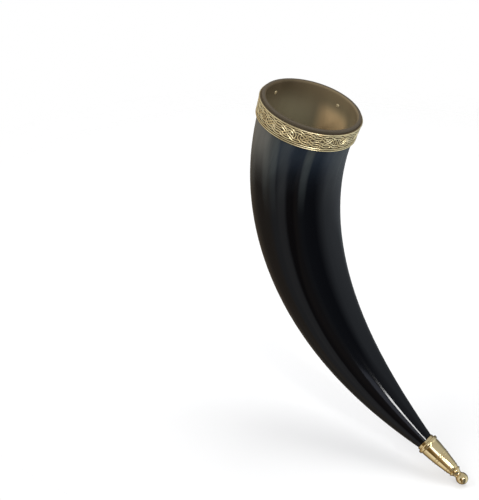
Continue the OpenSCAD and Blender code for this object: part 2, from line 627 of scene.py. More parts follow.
@dataclass(frozen=True)
class HornFinish:
    """Polished buffalo horn, streaked along its length and translucent brown near the rim, with painted
    light and a painted glow inside the mouth and a painted shadow below the band.

    A pair of numbers is two distances from the rim, in metres, between which a colour comes or goes. A
    turn is a direction round the mouth, and a half the angle to either side of it, in degrees.
    """

    black: Colour = (0.0016, 0.0018, 0.0028)
    navy: Colour = (0.016, 0.023, 0.034)
    navy_reach: Span = (0.016, 0.082)
    pale: Colour = (0.054, 0.062, 0.062)
    streaks: tuple[Streak, ...] = (
        Streak(18.0, 9.0, 0.6), Streak(50.0, 6.0, 0.5), Streak(86.0, 11.0, 0.8),
        Streak(121.0, 7.0, 0.5), Streak(155.0, 9.0, 0.7), Streak(188.0, 6.0, 0.5),
        Streak(220.0, 11.0, 0.7), Streak(258.0, 5.0, 0.7), Streak(270.0, 4.5, 0.8),
        Streak(284.0, 5.0, 0.3), Streak(315.0, 4.2, 0.9), Streak(358.0, 9.0, 0.5))
    streak_softness: float = 1.7
    olive: Colour = (0.166, 0.160, 0.138)
    olive_turn: float = 236.0
    olive_half: float = 33.0
    olive_share: float = 0.85
    olive_reach: Span = (0.016, 0.060)
    # Where the painted shadow below the band's foot fades into the horn's own colour
    band_shadow_reach: Span = (0.0160, 0.0174)
    lip: Colour = (0.088, 0.070, 0.047)
    lip_reach: Span = (0.002, 0.005)
    inside_lip: Colour = (0.092, 0.068, 0.037)
    # Painted light: one side of the bore is coloured lighter, where light falls on it
    inside_painted_light: Colour = (0.190, 0.145, 0.080)
    painted_light_turn: float = 82.0
    painted_light_half: float = 80.0
    inside: Colour = (0.270, 0.235, 0.145)
    inside_reach: Span = (0.001, 0.026)
    # Painted glow: a tan patch on the inside wall stands for light shining through the horn's wall
    painted_glow: Colour = (0.800, 0.560, 0.290)
    painted_glow_turn: float = 84.0
    painted_glow_half: float = 30.0
    painted_glow_start: Span = (0.008, 0.022)
    painted_glow_stop: Span = (0.028, 0.055)
    painted_glow_share: float = 0.9
    inside_end: Colour = (0.150, 0.110, 0.065)
    end_reach: Span = (0.045, 0.150)
    end_share: float = 0.7
    cloud_share: float = 0.35
    hair_share: float = 0.15
    roughness: float = 0.06
    cut_roughness: float = 0.22
    cut_reach: Span = (0.001, 0.006)
    hollow_roughness: float = 0.30

    def lobe(self, shader: Shader, turn: float, reach: float) -> Value:
        """How near a point is to a direction round the mouth.

        Args:
            shader: the material's shader.
            turn: the direction, in degrees.
            reach: how far the lobe goes to either side, in degrees.

        Returns:
            1 along the direction, falling to 0 at the lobe's sides.
        """
        around = shader.attribute("around", "Vector")
        x, y = (shader.part(around, axis) for axis in "XY")
        near = x * math.cos(math.radians(turn)) + y * math.sin(math.radians(turn))
        return near.ramp(math.cos(math.radians(reach)), 1.0)

    def outside(self, shader: Shader, along: Value, cloud: Value) -> Value:
        """Colour of the outside, with a painted shadow just below the band.

        Args:
            shader: the material's shader.
            along: distance from the rim, in metres.
            cloud: slow noise along the grain.

        Returns:
            The colour.
        """
        fade = 1.0 - along.ramp(*self.navy_reach)
        body = shader.blend(fade ** 3.0, self.black, self.navy)
        total: Value | float = 0.0
        for streak in self.streaks:
            reach = streak.reach * self.streak_softness
            total = self.lobe(shader, streak.turn, reach) * streak.strength + total
        broken = (total + (cloud - 0.5) * 0.8) * (0.6 + 0.8 * cloud)
        body = shader.blend(broken.held() * (fade * 0.95 + 0.02), body, self.pale)
        side = self.lobe(shader, self.olive_turn, self.olive_half)
        side = side * (1.0 - along.ramp(*self.olive_reach))
        body = shader.blend((side * (0.5 + 0.8 * cloud)).held() * self.olive_share, body, self.olive)
        # Painted shadow: the horn is darkened just below the band's foot, where the band casts shade
        body = shader.blend(along.ramp(*self.band_shadow_reach) * 0.85 + 0.15, self.black, body)
        return shader.blend(1.0 - along.ramp(*self.lip_reach), body, self.lip)

    def within(self, shader: Shader, along: Value, cloud: Value) -> Value:
        """Colour of the bore and the hollow, with painted light on one side and a painted glow of light
        through the wall.

        Args:
            shader: the material's shader.
            along: distance from the rim, in metres.
            cloud: slow noise along the grain.

        Returns:
            The colour.
        """
        # Painted light on one side of the bore
        painted_lit = self.lobe(shader, self.painted_light_turn, self.painted_light_half)
        inner = shader.blend(painted_lit, self.inside_lip, self.inside_painted_light)
        inner = shader.blend(along.ramp(*self.inside_reach), inner, self.inside)
        # Painted glow of light shining through the wall, a tan patch on one side of the bore
        painted_glow_mask = self.lobe(shader, self.painted_glow_turn, self.painted_glow_half) * along.ramp(*self.painted_glow_start)
        painted_glow_mask = painted_glow_mask * (1.0 - along.ramp(*self.painted_glow_stop))
        inner = shader.blend((painted_glow_mask * (0.6 + cloud)).held() * self.painted_glow_share, inner, self.painted_glow)
        inner = shader.blend(along.ramp(*self.end_reach) * self.end_share, inner, self.inside_end)
        return shader.blend(cloud.ramp(0.35, 0.75) * self.cloud_share, inner, self.inside_end)

    def material(self) -> bpy.types.Material:
        """Build the material.

        Returns:
            The material.
        """
        shader = Shader("polished_horn")
        grain = shader.attribute("grain", "Vector")
        along = shader.part(grain, "Z")
        hollow = shader.attribute("hollow").ramp(0.3, 0.7)
        slow = shader.stretched(grain, scale=(1.0, 1.0, 9.0))
        cloud = shader.noise(slow, scale=2.6, warp=0.2)
        fine = shader.stretched(grain, scale=(9.0, 9.0, 6.0), shift=(0.0, 4.0, 2.0))
        hair = shader.noise(fine, scale=4.0, detail=3.0, rough=0.6)
        body = self.outside(shader, along, cloud)
        body = shader.blend(hair.ramp(0.45, 0.8) * self.hair_share, body, self.black)
        cut = 1.0 - along.ramp(*self.cut_reach)
        rough = self.roughness + 0.05 * hair + self.hollow_roughness * hollow + self.cut_roughness * cut
        shader.set(Base_Color=shader.blend(hollow, body, self.within(shader, along, cloud)),
                   Roughness=rough, IOR=1.42, Specular_IOR_Level=0.22)
        shader.bump(hair * 0.10 + cloud * 0.90, strength=0.12, distance=0.0004)
        return shader.material


@dataclass(frozen=True)
class BrassFinish:
    """Brass, cast with brown in its recesses, or turned and polished where it has no recess colour.

    The relief between the two worn numbers goes from the recess's colour to bright metal.
    """

    name: str
    bright: Colour
    shade: Colour
    roughness: float
    recess: Colour | None = None
    dull: float = 0.0
    copper: Colour = (0.80, 0.50, 0.34)
    copper_share: float = 0.35
    recess_share: float = 0.94
    worn: Span = (0.40, 0.66)

    def material(self) -> bpy.types.Material:
        """Build the material.

        Returns:
            The material.
        """
        shader = Shader(self.name)
        place = shader.place()
        cloud = shader.noise(place, scale=90.0, detail=3.0, rough=0.6)
        speck = shader.noise(place, scale=900.0, detail=2.0, rough=0.6)
        colour = shader.blend(cloud.ramp(0.35, 0.7), self.bright, self.shade)
        metal: Value | float = 1.0
        if self.recess is None:
            lines = shader.noise(shader.attribute("turning", "Vector"), scale=1.0, detail=2.0, rough=0.7)
            rough = self.roughness + 0.05 * cloud + 0.05 * lines
            shader.bump(lines * 0.7 + speck * 0.3, strength=0.06, distance=0.00005)
        else:
            relief = shader.attribute("relief")
            low = 1.0 - (relief + (cloud - 0.5) * 0.12).ramp(*self.worn)
            colour = shader.blend(cloud.ramp(0.62, 0.72) * self.copper_share, colour, self.copper)
            colour = shader.blend(low * self.recess_share, colour, self.recess)
            rough = self.roughness + 0.30 * low + 0.10 * speck
            metal = (1.0 - self.dull) * (1.0 - 0.85 * low)
            shader.bump(speck * 0.5 + cloud * 0.5, strength=0.15, distance=0.0001)
        shader.set(Base_Color=colour, Metallic=metal, Roughness=rough)
        return shader.material


class Finish(Enum):
    """The finishes of the object's pieces."""

    HORN = HornFinish()
    BAND = BrassFinish("antiqued_brass", bright=(0.98, 0.85, 0.51), shade=(0.88, 0.71, 0.39),
                       roughness=0.30, recess=(0.050, 0.026, 0.008), dull=0.12)
    PIN = BrassFinish("pin_brass", bright=(0.80, 0.68, 0.42), shade=(0.70, 0.56, 0.32),
                      roughness=0.40, recess=(0.10, 0.06, 0.02), dull=0.45)
    TURNED = BrassFinish("turned_brass", bright=(0.88, 0.71, 0.40), shade=(0.82, 0.63, 0.33),
                         roughness=0.05)


# The horn


@dataclass
class HornBody:
    """The horn: outside, turned rim, bore and hollow in one skin, and its point in the ferrule.

    The inner rings are those before the hollow's that already look like its inside.
    """

    sides: int = 128
    outer_rings: int = 64
    hollow_rings: int = 40
    inner_rings: int = 8
    point_length: float = 21.9
    point_root: float = 6.4
    point_end: float = 3.4
    band_top: float = 2.2
    band_foot: float = 15.8
    seat_depth: float = 0.5
    rim_round: float = 0.8
    inner_round: float = 1.7
    round_step: int = 15
    bore_rings: tuple[float, ...] = (6.0, 12.0)
    hollow_start: float = 2.0
    hollow_end: float = 89.0
    narrowing: float = 0.05
    grain_twist: float = 0.3
    drift: float = 0.22
    drift_turn: float = 300.0
    drift_length: float = 100.0
    sharp: float = 32.0

    def rounding(self, wall: float, size: float, degrees: Sequence[int]) -> list[Station]:
        """Rings round one edge of the rim.

        Args:
            wall: radius of the wall that the rounding ends.
            size: the rounding's own radius, below 0 where it leads inwards from the wall.
            degrees: how far each ring is turned, from 0 at the wall to 90 at the rim.

        Returns:
            The rings.
        """
        rings = []
        for angle in degrees:
            a = math.radians(angle)
            rings.append(LINE.ring(abs(size) * (1.0 - math.sin(a)), wall + size * (1.0 - math.cos(a))))
        return rings

    def stations(self) -> list[Station]:
        """The skin's rings.

        Returns:
            Rings from the point, up the outside, over the rim and down the hollow.
        """
        line = LINE
        rings = []
        for reach, radius in ((self.point_length, self.point_end), (0.0, self.point_root)):
            centre = line.tip_frame() @ Vector((0.0, 0.0, reach * MM)) / MM
            rings.append(Station(tuple(centre), -line.tip_lean, radius))
        for i in range(self.outer_rings + 1):
            s = line.length - (line.length - self.band_foot) * i / self.outer_rings
            rings.append(line.ring(s, line.outer_radius(s)))
        seat = self.seat_depth
        for s, depth in ((self.band_foot, seat), (self.band_top, seat), (self.band_top, 0.0)):
            rings.append(line.ring(s, line.outer_radius(s) - depth))
        rings += self.rounding(line.outer_radius(0.0), -self.rim_round, range(0, 91, self.round_step))
        rings += self.rounding(line.bore_radius, self.inner_round, range(90, -1, -self.round_step))
        rings += [line.ring(s, line.bore_radius) for s in (*self.bore_rings, line.straight)]
        start = line.straight + self.hollow_start
        for i in range(1, self.hollow_rings + 1):
            share = math.sin(math.radians(self.hollow_end * i / self.hollow_rings))
            s = start + (line.hollow_length - start) * share
            rings.append(line.ring(s, min(line.bore_radius - self.narrowing * i, line.hollow_radius(s))))
        return rings

    def store_grain(self, piece: bpy.types.Object) -> None:
        """Store where each point is along the horn and round it.

        Args:
            piece: the horn.
        """
        points = Modeller.points(piece)
        path = LINE.path()
        distances = np.linspace(0.0, LINE.length, len(path))
        gaps = np.hypot(points[:, 0, None] - path[None, :, 0], points[:, 2, None] - path[None, :, 1])
        nearest = gaps.argmin(axis=1)
        lean = np.radians([LINE.lean(s) for s in distances])[nearest]
        x, z = points[:, 0] - path[nearest, 0], points[:, 2] - path[nearest, 1]
        turn = np.arctan2(points[:, 1], x * np.cos(lean) - z * np.sin(lean))
        along = distances[nearest]
        drift = np.sin(turn - math.radians(self.drift_turn)) * np.minimum(along, self.drift_length)
        for name, bend in (("around", self.drift * drift), ("grain", self.grain_twist * along)):
            spun = turn + np.radians(bend)
            Modeller.mark(piece, name, np.stack([np.cos(spun), np.sin(spun), along * MM], axis=1))

    def build(self) -> None:
        """Model the horn, store its grain and dress it."""
        rings = self.stations()
        piece = Modeller.sweep("horn", rings, self.sides, True)
        self.store_grain(piece)
        hollow = np.zeros(len(piece.data.vertices))
        hollow[(len(rings) - self.hollow_rings - self.inner_rings) * self.sides:] = 1.0
        Modeller.mark(piece, "hollow", hollow)
        Modeller.smooth(piece, self.sharp)
        Modeller.dress(piece, Finish.HORN.value.material(), "horn", "horn_body")


# The band


class Wall(Enum):
    """A place where two strands turn back instead of crossing."""

    LEVEL = "level"
    UPRIGHT = "upright"


@dataclass
class KnotPanel:
    """One repeat of the interlaced strands, laid out flat for the band to wind round itself.

    Strands cross at lattice sites, except where a site has a wall, which turns them back.
    """

    columns: int = 8
    rows: int = 4
    width: float = 28.3
    height: float = 10.15
    strand: float = 3.05
    rise: float = 0.17
    level: float = 0.08
    level_pull: float = 1.1
    upright_pull: float = 1.5
    closing: float = 0.4
    samples: int = 8
    breaks: dict[Pair, Wall] = field(default_factory=lambda: {(1, 2): Wall.LEVEL, (5, 2): Wall.UPRIGHT})
    half_section: tuple[Span, ...] = (
        (0.0, -0.42), (0.22, -0.42), (0.40, -0.14), (0.54, 0.12), (0.72, 0.27), (0.98, 0.27),
        (1.18, 0.12), (1.34, -0.14), (1.46, -0.42), (1.54, -0.60))

    @property
    def cell(self) -> Vector:
        """Size of one lattice cell."""
        return Vector((self.width / self.columns, self.height / self.rows))

    def wall_at(self, site: Pair) -> Wall | None:
        """The wall at a lattice site, if it has one.

        Args:
            site: the site's column and row.

        Returns:
            The wall, or None where strands cross.
        """
        if site[1] in (0, self.rows):
            return Wall.LEVEL
        return self.breaks.get((site[0] % self.columns, site[1]))

    def leaving(self, site: Pair, way: Pair) -> Pair:
        """The direction in which a strand leaves a site.

        Args:
            site: the site's column and row.
            way: the direction in which the strand arrives.

        Returns:
            The direction in which it goes on.
        """
        wall = self.wall_at(site)
        if wall is Wall.LEVEL:
            return way[0], -way[1]
        return (-way[0], way[1]) if wall is Wall.UPRIGHT else way

    def knot(self, site: Pair, way: Pair) -> Pass:
        """Where a strand passes a site.

        Args:
            site: the site's column and row.
            way: the direction in which the strand leaves.

        Returns:
            The point, its tangent and its height.
        """
        cell, half = self.cell, self.strand / 2
        point = Vector((site[0] * cell.x, site[1] * cell.y))
        wall = self.wall_at(site)
        if wall is Wall.LEVEL:
            pull = way[0] * cell.x * self.level_pull
            return point + Vector((0.0, way[1] * half)), Vector((pull, 0.0)), 0.0
        if wall is Wall.UPRIGHT:
            pull = way[1] * cell.y * self.upright_pull
            return point + Vector((way[0] * half, 0.0)), Vector((0.0, pull)), 0.0
        over = (way[0] * way[1] > 0) == (site[0] % 2 == 1)
        return point, Vector((way[0] * cell.x, way[1] * cell.y)), self.rise if over else -self.rise

    def strands(self) -> list[list[Vector]]:
        """Follow every strand, from one column before the repeat to one after it.

        Returns:
            Rows of points, with the height as the third number.
        """
        first, last = -1, self.columns + 1
        left = {(x, y, dx, dy) for x in range(first, last + 1) for y in range(self.rows + 1)
                if (x + y) % 2 == 1 for dx in (-1, 1) for dy in (-1, 1)
                if first <= x + dx <= last and 0 <= y + dy <= self.rows}
        runs = []
        while left:
            x, y, dx, dy = min(left, key=lambda one: (one[0] not in (first, last), one))
            site, way = (x, y), (dx, dy)
            run: list[Vector] = []
            while (*site, *way) in left:
                after = (site[0] + way[0], site[1] + way[1])
                left -= {(*site, *way), (*after, -way[0], -way[1])}
                leaves = self.leaving(after, way)
                run += self.curve(self.knot(site, way), self.knot(after, leaves))
                site, way = after, leaves
            runs.append(run)
        return runs

    def curve(self, start: Pass, end: Pass) -> list[Vector]:
        """A smooth run between two passing points.

        Args:
            start: the first point, its tangent and its height.
            end: the second point, its tangent and its height.

        Returns:
            The points from the first, without the second.
        """
        run = []
        for i in range(self.samples):
            t = i / self.samples
            a, b = 2 * t ** 3 - 3 * t ** 2 + 1, t ** 3 - 2 * t ** 2 + t
            c, d = 3 * t ** 2 - 2 * t ** 3, t ** 3 - t ** 2
            flat = start[0] * a + start[1] * b + end[0] * c + end[1] * d
            run.append(Vector((flat.x, flat.y, start[2] * a + end[2] * c + self.level)))
        return run

    def outline(self) -> bpy.types.Object:
        """Draw a strand's section, two ridges with a groove between.

        Returns:
            The open curve, across along X and up along Y.
        """
        scale = self.strand / (2 * self.half_section[-1][0])
        left = [(-x * scale, z) for x, z in reversed(self.half_section[1:])]
        rows = left + [(x * scale, z) for x, z in self.half_section]
        shape = bpy.data.curves.new("strand_section", "CURVE")
        drawn = shape.splines.new("POLY")
        drawn.points.add(len(rows) - 1)
        for point, (x, z) in zip(drawn.points, rows):
            point.co = (x * MM, z * MM, 0.0, 1.0)
        return Modeller.add("strand_section", shape)

    def lay(self, section: bpy.types.Object) -> bpy.types.Object:
        """Lay a section along every strand.

        Args:
            section: the section's curve.

        Returns:
            The strands as one flat mesh.
        """
        runs = bpy.data.curves.new("strands", "CURVE")
        runs.dimensions = "3D"
        runs.twist_mode = "Z_UP"
        runs.bevel_mode = "OBJECT"
        runs.bevel_object = section
        for places in self.strands():
            spline = runs.splines.new("POLY")
            spline.points.add(len(places) - 1)
            for point, place in zip(spline.points, places):
                point.co = (*(place * MM), 1.0)
            spline.use_cyclic_u = (places[0] - places[-1]).length < self.cell.length * self.closing
        Modeller.only(Modeller.add("strands", runs))
        bpy.ops.object.convert(target="MESH")
        return bpy.context.object

    def build(self) -> bpy.types.Object:
        """Lay the strands and cut them off at the repeat's ends.

        Returns:
            The flat repeat.
        """
        Modeller.deselect()
        section = self.outline()
        piece = self.lay(section)
        bpy.ops.object.mode_set(mode="EDIT")
        for edge, inner in ((0.0, True), (self.width * MM, False)):
            bpy.ops.mesh.select_all(action="SELECT")
            bpy.ops.mesh.bisect(plane_co=(edge, 0.0, 0.0), plane_no=(1.0, 0.0, 0.0), clear_inner=inner,
                                clear_outer=not inner)
        bpy.ops.object.mode_set(mode="OBJECT")
        bpy.data.objects.remove(section)
        return piece


@dataclass
class RimBand:
    """The brass band: a conical strip with beaded edges and interlaced strands between them.

    A bead is its height above the band's foot and its width. After each come the heights of the floor's
    own rings.
    """

    height: float = 13.6
    lip: float = 2.2
    thickness: float = 1.5
    seat: float = 0.5
    gap: float = 0.1
    bead: float = 0.6
    bead_shape: tuple[Span, ...] = ((0.0, 0.0), (0.12, 0.65), (0.5, 1.0), (0.88, 0.65), (1.0, 0.0))
    beads: tuple[Span, ...] = ((0.0, 0.9), (1.5, 0.8), (12.7, 0.9))
    floor: float = 0.35
    floors: tuple[tuple[float, ...], ...] = ((0.95, 1.45), (2.35, 4.5, 7.0, 9.5, 12.65), ())
    strand_foot: float = 2.45
    strand_top: float = 0.5
    panels: int = 8
    first_turn: float = 85.0
    sides: int = 192
    merge: float = 1e-5
    sharp: float = 40.0

    def inner(self, z: float) -> float:
        """Inner radius of the band.

        Args:
            z: height above the band's foot.

        Returns:
            The radius.
        """
        foot = LINE.outer_radius(self.lip + self.height) - self.seat + self.gap
        top = LINE.outer_radius(self.lip) - self.seat + self.gap
        return foot + (top - foot) * z / self.height

    def profile(self) -> list[Span]:
        """The strip's section.

        Returns:
            Height above the foot and radius beyond the inner one, round the section.
        """
        rows = [(0.0, 0.0)]
        for (foot, size), heights in zip(self.beads, self.floors):
            rows += [(foot + size * share, self.thickness + self.bead * rise)
                     for share, rise in self.bead_shape]
            rows += [(z, self.thickness - self.floor) for z in heights]
        return rows + [(self.height, 0.0)]

    def strip(self) -> bpy.types.Object:
        """Model the strip.

        Returns:
            The strip, at its place.
        """
        mouth = LINE.mouth_frame()
        rings = []
        for z, out in [*self.profile(), self.profile()[0]]:
            centre = mouth @ Vector((0.0, 0.0, (-self.lip - self.height + z) * MM)) / MM
            rings.append(Station(tuple(centre), LINE.mouth_lean, self.inner(z) + out))
        return Modeller.sweep("band_strip", rings, self.sides, False)

    def wind(self, piece: bpy.types.Object, width: float) -> None:
        """Wind the flat repeat round the band.

        Args:
            piece: the flat repeat, along X, up Y and out along Z.
            width: its length along X.
        """
        points = Modeller.points(piece)
        middle = self.first_turn + 180.0 / self.panels
        share = 2.0 * math.pi / self.panels
        angle = math.radians(middle) + (points[:, 0] / width - 0.5) * share
        z = points[:, 1] + self.strand_foot
        out = np.array([self.inner(value) for value in z]) + self.thickness + points[:, 2]
        local = np.stack([out * np.cos(angle), out * np.sin(angle), z - self.lip - self.height], axis=1)
        Modeller.move_points(piece, Modeller.moved(local, np.array(LINE.mouth_frame())))

    def store_relief(self, piece: bpy.types.Object) -> None:
        """Store how high each point stands over the band's recesses.

        Args:
            piece: a piece at its place on the band.
        """
        local = Modeller.moved(Modeller.points(piece), np.linalg.inv(np.array(LINE.mouth_frame())))
        z = local[:, 2] + self.lip + self.height
        inner = np.array([self.inner(value) for value in z])
        out = np.hypot(local[:, 0], local[:, 1]) - inner - self.thickness + self.floor
        Modeller.mark(piece, "relief", np.clip(out / (self.floor + self.strand_top), 0.0, 1.0))

    def build(self) -> None:
        """Model the band and dress it."""
        strip = self.strip()
        panel = KnotPanel()
        first = panel.build()
        self.wind(first, panel.width)
        mouth = LINE.mouth_frame()
        pieces = [strip, first]
        for i in range(1, self.panels):
            turn = mouth @ Matrix.Rotation(2.0 * math.pi * i / self.panels, 4, "Z") @ mouth.inverted()
            pieces.append(Modeller.copy(first, f"knot_panel_{i}", turn))
        band = Modeller.join(pieces, "band")
        bpy.ops.object.mode_set(mode="EDIT")
        Modeller.close(self.merge)
        self.store_relief(band)
        Modeller.smooth(band, self.sharp)
        Modeller.dress(band, Finish.BAND.value.material(), "band_brass", "rim_band")


@dataclass
class BandPins:
    """Four brass pins through the band and the horn's wall, each with a domed head.

    An end is a row of distances beyond the bore or the band's face, with radii.
    """

    count: int = 4
    sides: int = 24
    inner_end: tuple[Span, ...] = ((-0.42, 0.55), (-0.34, 1.0), (-0.16, 1.35), (0.1, 1.5), (0.1, 0.8))
    outer_end: tuple[Span, ...] = ((-0.1, 0.8), (-0.1, 1.3), (0.12, 1.3), (0.34, 1.04), (0.5, 0.455))
    first_turn: float = 85.0
    depth: float = 9.0
    sharp: float = 40.0

    def build(self) -> None:
        """Model one pin, copy it round the band and dress each."""
        band = RimBand()
        face = band.inner(band.height / 2) + band.thickness
        rings = [(LINE.bore_radius + out, radius) for out, radius in self.inner_end]
        rings += [(face + out, radius) for out, radius in self.outer_end]
        stations = [Station((0.0, 0.0, reach), 0.0, radius) for reach, radius in rings]
        first = Modeller.sweep("pin_1", stations, self.sides, True)
        Modeller.smooth(first, self.sharp)
        pins = [first]
        for i in range(1, self.count):
            pins.append(Modeller.copy(first, f"pin_{i + 1}", Matrix.Identity(4)))
        material = Finish.PIN.value.material()
        middle = LINE.mouth_frame() @ Matrix.Translation((0.0, 0.0, -self.depth * MM))
        for i, pin in enumerate(pins):
            angle = math.radians(self.first_turn) + 2.0 * math.pi * i / self.count
            turn = Matrix.Rotation(angle, 4, "Z") @ Matrix.Rotation(math.pi / 2, 4, "Y")
            pin.data.transform(middle @ turn)
            Modeller.mark(pin, "relief", np.ones(len(pin.data.vertices)))
            Modeller.dress(pin, material, "pin_brass", f"band_pin_{i + 1}")


# The ferrule and finial


@dataclass
class TipMount:
    """The turned ferrule on the horn's point and the finial on its nose.

    A pair of numbers is a distance along the tip's axis and a radius, or what is added to a radius. A
    turned ring's shape is a share of its width, where the tube under it is read, and a share of its height.
    """

    length: float = 29.0
    sides: int = 96
    bore: float = 6.55
    sleeve: float = 7.3
    sleeve_length: float = 2.0
    flange: float = 8.6
    flange_thickness: float = 2.5
    flange_front: tuple[Span, ...] = ((0.0, -0.6), (0.15, -0.2), (0.5, 0.0))
    flange_back: tuple[Span, ...] = ((-0.6, 0.0), (-0.2, -0.2), (0.0, -0.6))
    fillet: float = 0.2
    edge: float = 0.25
    root: float = 7.7
    nose: float = 4.5
    nose_edge: float = 0.4
    taper_power: float = 1.5
    tube_start: float = 1.0
    tube_step: float = 0.9
    tube_stop: float = 0.6
    rings: tuple[float, ...] = (0.40, 0.48, 0.82, 0.90)
    ring_height: float = 0.35
    ring_width: float = 0.8
    ring_shape: tuple[Place, ...] = (
        (0.0, 0.0, 0.0), (0.15, 0.0, 0.75), (0.5, 0.5, 1.0), (0.85, 1.0, 0.75), (1.0, 1.0, 0.0))
    ring_before: float = 0.2
    ring_after: float = 0.5
    inside_end: tuple[Span, ...] = ((22.0, 1.6), (22.0, 3.5))
    stud_bore: float = 1.6
    stud: tuple[Span, ...] = ((-5.5, 1.2), (-5.2, 1.5), (0.0, 1.5))
    collar: tuple[Span, ...] = ((0.0, 4.3), (0.3, 4.7), (0.8, 4.8), (1.3, 4.7), (1.6, 4.35))
    neck: float = 2.9
    neck_flare: float = 1.35
    neck_length: float = 3.0
    neck_rings: int = 8
    ball: float = 4.5
    ball_reach: float = 8.0
    ball_start: float = 4.75
    ball_end: float = 177.0
    ball_rings: int = 24
    mark_width: float = 0.6
    mark_pitch: float = 6.0
    sharp: float = 38.0

    def tube(self, z: float) -> float:
        """Radius of the tapered tube.

        Args:
            z: distance from the ferrule's mouth.

        Returns:
            The radius.
        """
        start = self.sleeve_length + self.flange_thickness
        share = max(0.0, z - start) / (self.length - start)
        return self.root + (self.nose - self.root) * share ** self.taper_power

    def ferrule_profile(self) -> list[Span]:
        """The ferrule's section.

        Returns:
            Distance from the mouth and radius, from the bore's mouth round to its end.
        """
        front, edge = self.sleeve_length, self.edge
        start = front + self.flange_thickness
        rows = [(0.0, self.bore), (0.0, self.sleeve - edge), (edge, self.sleeve),
                (front - edge, self.sleeve), (front, self.sleeve + edge)]
        rows += [(front + z, self.flange + out) for z, out in self.flange_front]
        rows += [(start + z, self.flange + out) for z, out in self.flange_back]
        rows += [(start, self.root + self.fillet), (start + edge, self.root)]
        marks = [start + (self.length - start) * share for share in self.rings]
        z = start + self.tube_start
        while z < self.length - self.tube_stop:
            if marks and z >= marks[0] - self.ring_before:
                low, width = marks.pop(0), self.ring_width
                rows += [(low + width * share, self.tube(low + width * read) + self.ring_height * rise)
                         for share, read, rise in self.ring_shape]
                z = low + width + self.ring_after
            else:
                rows.append((z, self.tube(z)))
                z += self.tube_step
        nose = self.tube(self.length)
        rows += [(self.length - self.nose_edge, nose), (self.length, nose - self.nose_edge),
                 (self.length, self.stud_bore), *self.inside_end]
        return rows

    def finial_profile(self) -> list[Span]:
        """The finial's section.

        Returns:
            Distance from the ferrule's nose and radius, from the stud to the ball's end.
        """
        rows = [*self.stud, *self.collar]
        neck_start = self.collar[-1][0]
        for i in range(1, self.neck_rings + 1):
            t = i / self.neck_rings
            radius = self.neck + self.neck_flare * (1.0 - t) ** 2
            rows.append((neck_start + self.neck_length * t, radius))
        start = math.acos((self.ball_reach - self.ball_start) / self.ball)
        for i in range(self.ball_rings + 1):
            a = start + (math.radians(self.ball_end) - start) * i / self.ball_rings
            rows.append((self.ball_reach - self.ball * math.cos(a), self.ball * math.sin(a)))
        return rows

    def turn(self, name: str, rows: Sequence[Span], shift: float, filled: bool) -> bpy.types.Object:
        """Turn a section about the tip's axis.

        Args:
            name: the piece's name.
            rows: distances along the axis and radii.
            shift: where the rows' zero is, from the ferrule's mouth.
            filled: whether the ends are closed, else the section is a closed one.

        Returns:
            The turned piece, with a coordinate along the axis for its tool marks.
        """
        stations = [Station((0.0, 0.0, z + shift), 0.0, radius) for z, radius in rows]
        if not filled:
            stations.append(stations[0])
        piece = Modeller.sweep(name, stations, self.sides, filled)
        points = Modeller.points(piece)
        angle = np.arctan2(points[:, 1], points[:, 0])
        Modeller.mark(piece, "turning", np.stack([np.cos(angle) * self.mark_width,
                                                  np.sin(angle) * self.mark_width,
                                                  points[:, 2] * self.mark_pitch], axis=1))
        piece.data.transform(LINE.tip_frame())
        Modeller.smooth(piece, self.sharp)
        return piece

    def build(self) -> None:
        """Turn the ferrule and the finial and dress them."""
        material = Finish.TURNED.value.material()
        ferrule = self.turn("ferrule", self.ferrule_profile(), 0.0, False)
        finial = self.turn("finial", self.finial_profile(), self.length, True)
        Modeller.dress(ferrule, material, "ferrule_brass", "tip_ferrule")
        Modeller.dress(finial, material, "ferrule_brass", "tip_finial")


# The studio


PLAIN: Colour = (1.0, 1.0, 1.0)
WARM: Colour = (1.20, 0.95, 0.68)
COOL: Colour = (0.91, 1.00, 1.10)
BROWN: Colour = (1.30, 0.90, 0.42)


def frame_of(place: Place, *axes: Sequence[float]) -> Matrix:
    """A frame at a place, from its three axes."""
    return Matrix.Translation(place) @ Matrix(axes).transposed().to_4x4()


@dataclass(frozen=True)
class Lamp:
    """One soft lamp, in metres, with the direction of its long side."""

    name: str
    place: Place
    along: Place
    size: Span
    power: float
    colour: Colour = PLAIN
    aim: Place = (0.10, 0.0, -0.12)
    mirrored: bool = True

    def matrix(self) -> Matrix:
        """Turn the lamp to what it lights.

        Returns:
            Its place and turn, its light going down its own Z.
        """
        back = (Vector(self.place) - Vector(self.aim)).normalized()
        side = Vector(self.along)
        side = (side - back * side.dot(back)).normalized()
        return frame_of(self.place, side, back.cross(side), back)

    def build(self) -> None:
        """Make the lamp."""
        data = bpy.data.lights.new(self.name, "AREA")
        data.shape = "RECTANGLE"
        data.size, data.size_y = self.size
        data.energy = self.power
        data.color = self.colour
        lamp = Modeller.add(self.name, data)
        lamp.matrix_world = self.matrix()
        lamp.visible_camera = False
        lamp.visible_glossy = self.mirrored


